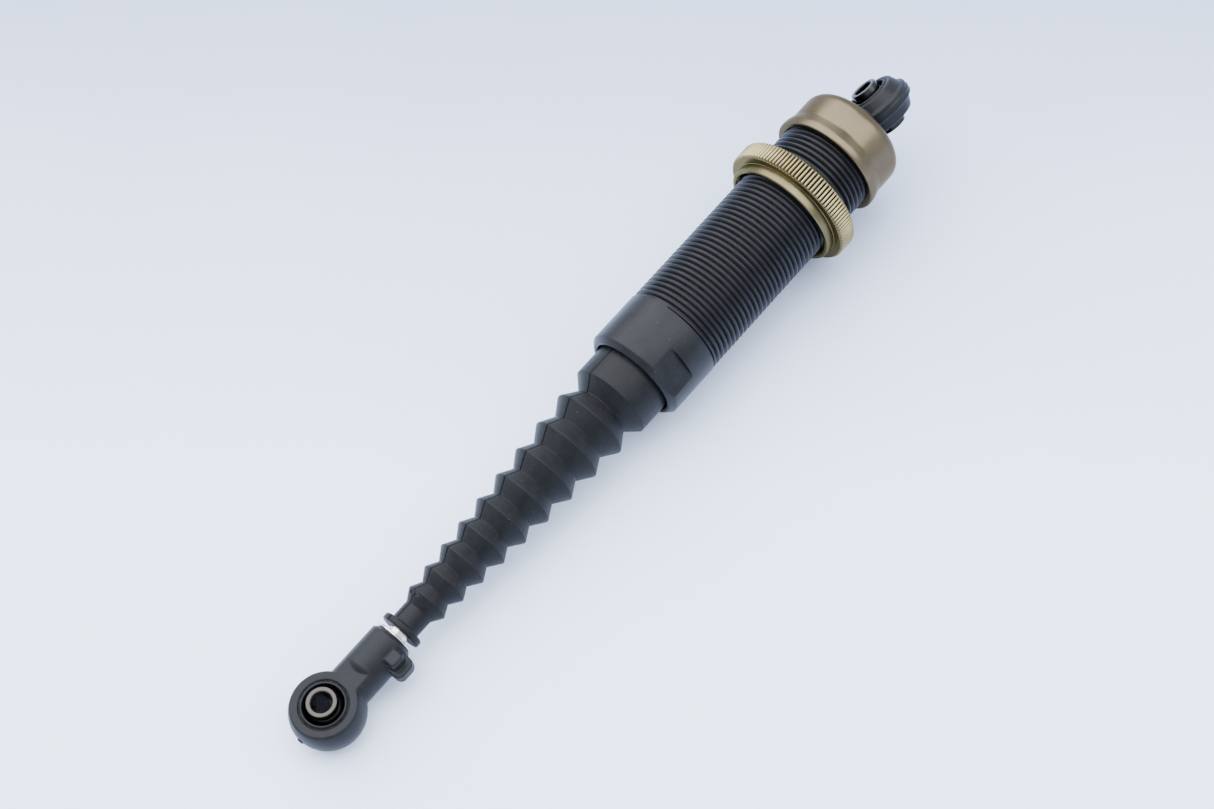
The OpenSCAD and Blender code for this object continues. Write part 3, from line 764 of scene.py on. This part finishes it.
neck_outline = rounded([
    (BOOT_X, BOOT_BORE_R, 0.15), (BOOT_X, FLANGE_R, 0.45), (FLANGE_X, FLANGE_R, 0.5),
    (FLANGE_X, NECK_R, 0.4), (BELLOWS_X, NECK_R, 0), (BELLOWS_X, NECK_R - WALL, 0),
    (BELLOWS_X - 0.5, BOOT_BORE_R, 0.1)])
outside = [(BELLOWS_X, NECK_R, 0)]
for k in range(1, FLANK_POINTS):
    flank = Vector(root(0)).lerp(Vector(crest(0)), 0.4 + 0.5 * k / FLANK_POINTS)
    outside.append((flank.x, flank.y, 0))
inside = [(BELLOWS_X, NECK_R - WALL, 0)]
for k in range(FOLDS):
    outside += [(*crest(k), 0.42), (*root(k + 1), 0.22)]
    inside += [(crest(k)[0], crest(k)[1] - WALL, 0.3), (root(k + 1)[0], root(k + 1)[1] - WALL, 0.3)]
outside.append((COLLAR_X, COLLAR_R, 0))
inside.append((COLLAR_X, COLLAR_R - WALL, 0))
collar_outline = rounded([
    (COLLAR_X, COLLAR_R - WALL, 0), (COLLAR_X, COLLAR_R, 0), (BOOT_END, COLLAR_R, 0.3),
    (BOOT_END, COLLAR_R - COLLAR_WALL, 0.2), (COLLAR_X + COLLAR_WALL, COLLAR_R - COLLAR_WALL, 0.2)])
print("folds outline:", len(outside) + len(inside), "corners")

# %% [markdown]
# The neck is handed to the body that slides with the rod. The folds and the collar stay with the damper's
# body, and the folds get a mesh of their own.

# %% Boot pieces
boot_piece("boot_neck", neck_outline, "piston_slider")
boot_folds = boot_piece("boot_folds", rounded(outside + inside[::-1]), "damper_body")
boot_piece("boot_collar", collar_outline, "damper_body")

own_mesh(boot_folds)

# %% [markdown]
# ## The moulded eyes
# Both eyes are glass-filled nylon, moulded round a steel ball. A moulding has no sharp edge anywhere, and
# its parts melt into each other. So each eye is put together from overlapping closed shapes, which a
# voxel remesh then joins into one skin, and a light smoothing rounds every edge by a fraction of a
# millimetre, as the mould does.

# %% Eye helpers
VOXEL = 0.16 * MM


def fused(bm, name, smoothing=4):
    """Join overlapping closed shapes into one smooth skin."""
    bmesh.ops.recalc_face_normals(bm, faces=bm.faces)
    mesh = bpy.data.meshes.new(name + "_parts")
    bm.to_mesh(mesh)
    bm.free()
    loose = bpy.data.objects.new(name + "_parts", mesh)
    bpy.context.collection.objects.link(loose)
    remesh = loose.modifiers.new("join", "REMESH")
    remesh.mode = "VOXEL"
    remesh.voxel_size = VOXEL
    soften = loose.modifiers.new("soften", "SMOOTH")
    soften.iterations = smoothing
    soften.factor = 0.5
    depsgraph = bpy.context.evaluated_depsgraph_get()
    skin = bpy.data.meshes.new_from_object(loose.evaluated_get(depsgraph))
    bpy.data.objects.remove(loose)
    for polygon in skin.polygons:
        polygon.use_smooth = True
    piece = bpy.data.objects.new(name, skin)
    skin.name = name
    bpy.context.collection.objects.link(piece)
    print(name, len(skin.polygons), "faces")
    return piece


def add_turned(bm, outline, steps=128, turn=None):
    """Spin an outline about X inside a larger bmesh, then turn and move it by a matrix."""
    before = set(bm.verts)
    spin_loop(bm, outline, steps)
    made = [v for v in bm.verts if v not in before]
    if turn is not None:
        bmesh.ops.transform(bm, matrix=turn, verts=made)


def capped(bm, place, outward):
    """Cut away all that lies beyond a plane, and close the cut."""
    bmesh.ops.bisect_plane(bm, geom=list(bm.verts) + list(bm.edges) + list(bm.faces), dist=CUT_TOLERANCE,
                           plane_co=place, plane_no=outward, clear_outer=True)
    bmesh.ops.holes_fill(bm, edges=[e for e in bm.edges if e.is_boundary], sides=0)


def arc(radius, first, last, steps):
    """Points of (along, radius, 0) on a circle about the ball's centre, from angle to angle."""
    return [(radius * math.sin(a), radius * math.cos(a), 0)
            for a in (first + (last - first) * k / steps for k in range(steps + 1))]


def add_prism(bm, outline, low, high, bevel):
    """A closed prism over an (x, y) outline, from low to high along Z, with its top edge rounded."""
    base = bm.faces.new([bm.verts.new((x * MM, y * MM, low * MM)) for x, y in outline])
    top = bmesh.ops.extrude_face_region(bm, geom=[base], use_keep_orig=True)["geom"]
    lifted = [v for v in top if isinstance(v, bmesh.types.BMVert)]
    bmesh.ops.translate(bm, vec=(0, 0, (high - low) * MM), verts=lifted)
    rim = [e for e in top if isinstance(e, bmesh.types.BMEdge)]
    bmesh.ops.bevel(bm, geom=rim, offset=bevel * MM, segments=3, profile=0.5, affect="EDGES", material=-1)


# %% [markdown]
# ## The ball's pocket and its lip
# Both eyes hold the same ball. The pocket is a band of a sphere a hair wider than the ball, and its
# openings are narrower than the ball, which keeps it in. A raised lip rings each opening, with a groove
# outside it.

# %% Pocket and lip
BALL_R = 5.5
POCKET_R = BALL_R + 0.03
OPENING_R = 4.95
EYE_HALF = 4.4
LIP_Z = 4.75
GROOVE_R = 5.75
GROOVE_Z = 3.9
GROOVE_HALF = 0.08
FACE_START = GROOVE_R + 0.3

pocket_edge = math.asin(math.sqrt(POCKET_R ** 2 - OPENING_R ** 2) / POCKET_R)
pocket = arc(POCKET_R, -pocket_edge, pocket_edge, 12)
lip_side = [(LIP_Z, OPENING_R, 0.1), (LIP_Z - 0.15, OPENING_R + 0.55, 0.12),
            (GROOVE_Z, GROOVE_R - GROOVE_HALF, 0), (GROOVE_Z, GROOVE_R + GROOVE_HALF, 0)]


def mirrored(outline):
    """The same corners on the other side, in the opposite order."""
    return [(-along, radius, fillet) for along, radius, fillet in outline[::-1]]


print("pocket:", round(2 * POCKET_R, 2), "mm, openings:", round(2 * OPENING_R, 2), "mm")

# %% [markdown]
# ## The lower eye and its shank
# A ball-shaped rim with two flat faces, a lip round each opening, and a round shank that holds the rod.
# The flat faces run on into the shank and end in a shallow step. A plate and a block stand on one side of
# the shank, and the spot where the mould was filled is left as a small stub on the tip.

# %% Lower eye's ring
rod_end_low, rod_end_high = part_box("rod_end")
EYE_R = -rod_end_low.x / MM
SHANK_TOP = rod_end_high.x / MM
SHANK_R = 5.5
FACE_END = 10.8
EYE_STEPS = 160
Z_TURN = Matrix.Rotation(-math.pi / 2, 4, "Y")

flat_edge = math.asin(EYE_HALF / EYE_R)
eye_face = [(EYE_HALF, FACE_START, 0.15), (EYE_HALF, EYE_R * math.cos(flat_edge) - 0.15, 0.5)]
eye_outline = rounded(pocket + lip_side + eye_face + arc(EYE_R, flat_edge - 0.04, 0.04 - flat_edge, 16)
                      + mirrored(lip_side + eye_face))
bm = bmesh.new()
add_turned(bm, eye_outline, EYE_STEPS, Z_TURN)
print("ring:", round(2 * EYE_R, 1), "mm across,", 2 * EYE_HALF, "mm between its faces")

# %% [markdown]
# The ring's flat faces run on into the shank. So a short round bar joins the two, cut flat on both sides.

# %% Web between the ring and the shank
WEB_X = 5.9
WEB_END = FACE_END + 2

web = bmesh.new()
add_turned(web, rounded([(WEB_X, 0, 0), (WEB_X, SHANK_R, 0), (WEB_END, SHANK_R, 0), (WEB_END, 0, 0)]))
for side in (1, -1):
    capped(web, (0, 0, side * EYE_HALF * MM), (0, 0, side))
web_mesh = bpy.data.meshes.new("web")
web.to_mesh(web_mesh)
web.free()
bm.from_mesh(web_mesh)
print("web:", len(web_mesh.polygons), "faces")

# %% [markdown]
# The shank is a round bar with a blind hole, in which the rod sits. Its lower end widens in an eased step.

# %% Shank
rod_low, rod_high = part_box("piston_rod")
ROD_R = rod_high.z / MM
SOCKET_R = ROD_R + 0.02
SOCKET_X = FACE_END + 0.2
SHANK_EASE = 0.9

add_turned(bm, rounded([
    (FACE_END - SHANK_EASE, 0, 0), (FACE_END - SHANK_EASE, SHANK_R - 1.5, 0),
    (FACE_END + SHANK_EASE, SHANK_R, 0.9), (SHANK_TOP - SHANK_EASE, SHANK_R, 0.3),
    (SHANK_TOP, SHANK_R - SHANK_EASE, 0.2), (SHANK_TOP, SOCKET_R, 0), (SOCKET_X, SOCKET_R, 0),
    (SOCKET_X, 0, 0)]))
print("shank:", round(SHANK_TOP - FACE_END, 1), "mm long")

# %% [markdown]
# The plate and the block are prisms with rounded corners, sunk into the shank so that the remesh joins
# them. The stub is a tiny turned pin on the tip of the ring. Then all the parts become one skin.

# %% Plate, block and stub
PLATE_X = SHANK_TOP - 6.7
PLATE_END = PLATE_X + 5.5
PLATE_Y = -8.9
BLOCK_X = PLATE_X + 0.8
BLOCK_END = PLATE_X + 4.6
BLOCK_Y = -7
STUB_R = 0.8
STUB_X = -EYE_R - 0.3
STUB_END = -EYE_R + 0.8

plate = rounded([(PLATE_X, -4, 0), (PLATE_X, PLATE_Y, 1.5), (PLATE_END, PLATE_Y, 1.9), (PLATE_END, -4, 0)])
add_prism(bm, plate, low=-0.8, high=2.2, bevel=0.35)
block = rounded([(BLOCK_X, -3.5, 0), (BLOCK_X, BLOCK_Y, 1.0), (BLOCK_END, BLOCK_Y, 1.0),
                 (BLOCK_END, -3.5, 0)])
add_prism(bm, block, low=0, high=5.3, bevel=0.6)
stub = rounded([(STUB_X, 0, 0), (STUB_X, STUB_R, 0.15), (STUB_END, STUB_R, 0), (STUB_END, 0, 0)])
add_turned(bm, stub, 24)
rod_eye = fused(bm, "rod_eye")
settle(rod_eye, "rod", "rod_end")

# %% [markdown]
# ## The upper eye
# The same ball in a slimmer ring, with a raised rib round its middle that has the mould's parting lines
# on it, and a round stem that screws into the cap.

# %% Upper eye
eye_place = Vector(next(m for m in frame["record"]["mounts"] if m["name"] == "upper_eye")["pos_m"])
UPPER_TURN = math.radians(50)
cap_low, cap_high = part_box("top_cap")
CAP_X = cap_low.x / MM
CAP_TOP = cap_high.x / MM
RIB_R = 9.2
RIB_HALF = 1.4
FLANK_R = 8.2
FACE_R = 7.0
LINE = 0.14
STEM_R = 5.93
STEM_X = CAP_TOP - 3.6
STEM_END = CAP_TOP + 3
UPPER_PLACE = Matrix.Translation(eye_place) @ Matrix.Rotation(-UPPER_TURN, 4, "X") @ Z_TURN

half_rim = [(EYE_HALF, FACE_START, 0.15), (EYE_HALF, FACE_R, 0.5), (RIB_HALF + 0.4, FLANK_R, 0.2),
            (RIB_HALF, RIB_R - 0.05, 0.3), (0.25, RIB_R - 0.05, 0), (0.1, RIB_R + LINE, 0)]
upper_outline = rounded(pocket + lip_side + half_rim + mirrored(lip_side + half_rim))
bm = bmesh.new()
add_turned(bm, upper_outline, EYE_STEPS, UPPER_PLACE)
capped(bm, ((CAP_TOP + 0.1) * MM, 0, 0), (-1, 0, 0))
add_turned(bm, rounded([(STEM_X, 0, 0), (STEM_X, STEM_R, 0.2), (STEM_END, STEM_R, 0.4), (STEM_END, 0, 0)]))
upper_eye = fused(bm, "upper_eye")
settle(upper_eye, "damper_body", "upper_eyelet")

# %% [markdown]
# ## The balls
# Each ball is turned in one piece with a collar at both ends. The collar's outer edge is rounded and the
# mouth of its bore has a small chamfer. The pale ring round the bore is the bare end face, marked here by
# its points.

# %% Pivot balls
COLLAR_END = ball_high.z / MM
COLLAR_BALL_R = 3.625
BORE_R = 2.5
MOUTH = 0.22
END_DEPTH = 0.1

ball_edge = math.acos(COLLAR_BALL_R / BALL_R)
half_ball = [(COLLAR_END, BORE_R + MOUTH, 0.08), (COLLAR_END, COLLAR_BALL_R, 0.2)]
ball_outline = rounded([(-COLLAR_END + MOUTH, BORE_R, 0), (COLLAR_END - MOUTH, BORE_R, 0)] + half_ball
                       + arc(BALL_R, ball_edge, -ball_edge, 28) + mirrored(half_ball))
for name, body, node_name, place in (("lower_steel_ball", "lower_pivot", "lower_ball", Z_TURN),
                                     ("upper_steel_ball", "upper_pivot", "upper_ball", UPPER_PLACE)):
    bm = bmesh.new()
    add_turned(bm, ball_outline, 128, place)
    ball = piece_from(bm, name)
    to_ball = place.inverted()
    ends = [float(abs((to_ball @ v.co).x) > (COLLAR_END - END_DEPTH) * MM) for v in ball.data.vertices]
    ball.data.attributes.new("bare", "FLOAT", "POINT").data.foreach_set("value", ends)
    settle(ball, body, node_name)

# %% [markdown]
# ## The rod
# A ground and polished rod with two narrow grooves for the piston's clips, spun as one outline so that
# its long reflection stays smooth.

# %% Rod
clip_low, clip_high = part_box("piston_clips")
GROOVE_GAP = 0.02
GROOVE_W = 0.54
GROOVE_FLOOR_R = ROD_R - 0.5
ROD_CHAMFER = 0.35

rod_outline = [(rod_low.x / MM, 0, 0), (rod_low.x / MM, ROD_R, ROD_CHAMFER)]
for start in (clip_low.x / MM - GROOVE_GAP, clip_high.x / MM + GROOVE_GAP - GROOVE_W):
    end = start + GROOVE_W
    rod_outline += [(start, ROD_R, 0.05), (start, GROOVE_FLOOR_R, 0), (end, GROOVE_FLOOR_R, 0),
                    (end, ROD_R, 0.05)]
rod_outline += [(rod_high.x / MM, ROD_R, ROD_CHAMFER), (rod_high.x / MM, 0, 0)]
bm = bmesh.new()
spin_loop(bm, rounded(rod_outline), 96)
ground_rod = piece_from(bm, "ground_rod")
settle(ground_rod, "rod", "piston_rod")

# %% [markdown]
# ## The cap
# A screw cap with a plain lip at its lower edge and a wide rounding at the top, spun as one outline.

# %% Cap
CAP_R = 14.1
CAP_LIP_R = cap_high.z / MM
CAP_BORE_R = 13.05
STEM_HOLE_R = 6.0
CAP_ROOF_X = CAP_TOP - 3.8

cap_outline = rounded([
    (CAP_X, CAP_BORE_R, 0.15), (CAP_X, CAP_LIP_R, 0.6), (CAP_X + 1.9, CAP_LIP_R, 2.4),
    (CAP_X + 4.3, CAP_R, 3.0), (CAP_TOP, CAP_R, 3.5), (CAP_TOP, STEM_HOLE_R, 0.2),
    (CAP_ROOF_X, STEM_HOLE_R, 0), (CAP_ROOF_X, CAP_BORE_R, 0.3)], 8)
bm = bmesh.new()
spin_loop(bm, cap_outline, 224)
screw_cap = piece_from(bm, "screw_cap")
settle(screw_cap, "damper_body", "top_cap")

# %% [markdown]
# ## The preload nut
# A knurled ring with a plain collar that centres the spring. The teeth are straight and shallow with
# rounded crests. The nut is built from rings of points, one at each step of its section. The radius of
# the middle rings is drawn in and out tooth by tooth, the others are plain circles, and quads join each
# ring to the next all the way round the section, so the bore and the chamfers close the shape.

# %% Knurled ring
NUT_X = nut_low.x / MM
NUT_END = nut_high.x / MM
SEAT_X = NUT_X + 2.6
KNURL_R = nut_high.z / MM
TEETH = 108
TOOTH_POINTS = 8
TOOTH_DEPTH = 0.6
NUT_COLLAR_R = 15.0
NUT_BORE_R = 13.05
TOOTH_CURVE = 0.85
NUT_SHARP = math.radians(28)


def knurl_ring(bm, along, radius, depth):
    """A ring of points about X whose radius follows the teeth."""
    made = []
    for k in range(TEETH * TOOTH_POINTS):
        angle = math.tau * k / (TEETH * TOOTH_POINTS)
        wave = abs(math.sin(angle * TEETH / 2)) ** TOOTH_CURVE
        size = radius - depth * (1 - wave)
        made.append(bm.verts.new(Vector((along, size * math.sin(angle), size * math.cos(angle))) * MM))
    return made


stations = [
    (NUT_X, 14.1, 0), (NUT_X, NUT_COLLAR_R - 0.25, 0), (NUT_X + 0.25, NUT_COLLAR_R, 0),
    (SEAT_X - 0.12, NUT_COLLAR_R, 0), (SEAT_X, NUT_COLLAR_R + 0.12, 0),
    (SEAT_X, KNURL_R - 0.6, 0), (SEAT_X + 0.12, KNURL_R - 0.5, 0.1),
    (SEAT_X + 0.4, KNURL_R - 0.08, TOOTH_DEPTH), (SEAT_X + 0.55, KNURL_R, TOOTH_DEPTH),
    (NUT_END - 0.55, KNURL_R, TOOTH_DEPTH), (NUT_END - 0.4, KNURL_R - 0.08, TOOTH_DEPTH),
    (NUT_END - 0.12, KNURL_R - 0.5, 0.1), (NUT_END, KNURL_R - 0.6, 0),
    (NUT_END, NUT_BORE_R + 0.8, 0), (NUT_END - 0.8, NUT_BORE_R, 0),
    (NUT_X + 1.15, NUT_BORE_R, 0)]
bm = bmesh.new()
rings = [knurl_ring(bm, *station) for station in stations]
for first, second in zip(rings, rings[1:] + rings[:1]):
    for k in range(len(first)):
        bm.faces.new((first[k - 1], first[k], second[k], second[k - 1]))
knurled_nut = piece_from(bm, "knurled_nut", NUT_SHARP)
settle(knurled_nut, "nut", "preload_nut")

print("cad box:", [round(v / MM, 2) for v in (*cad_low, *cad_high)])
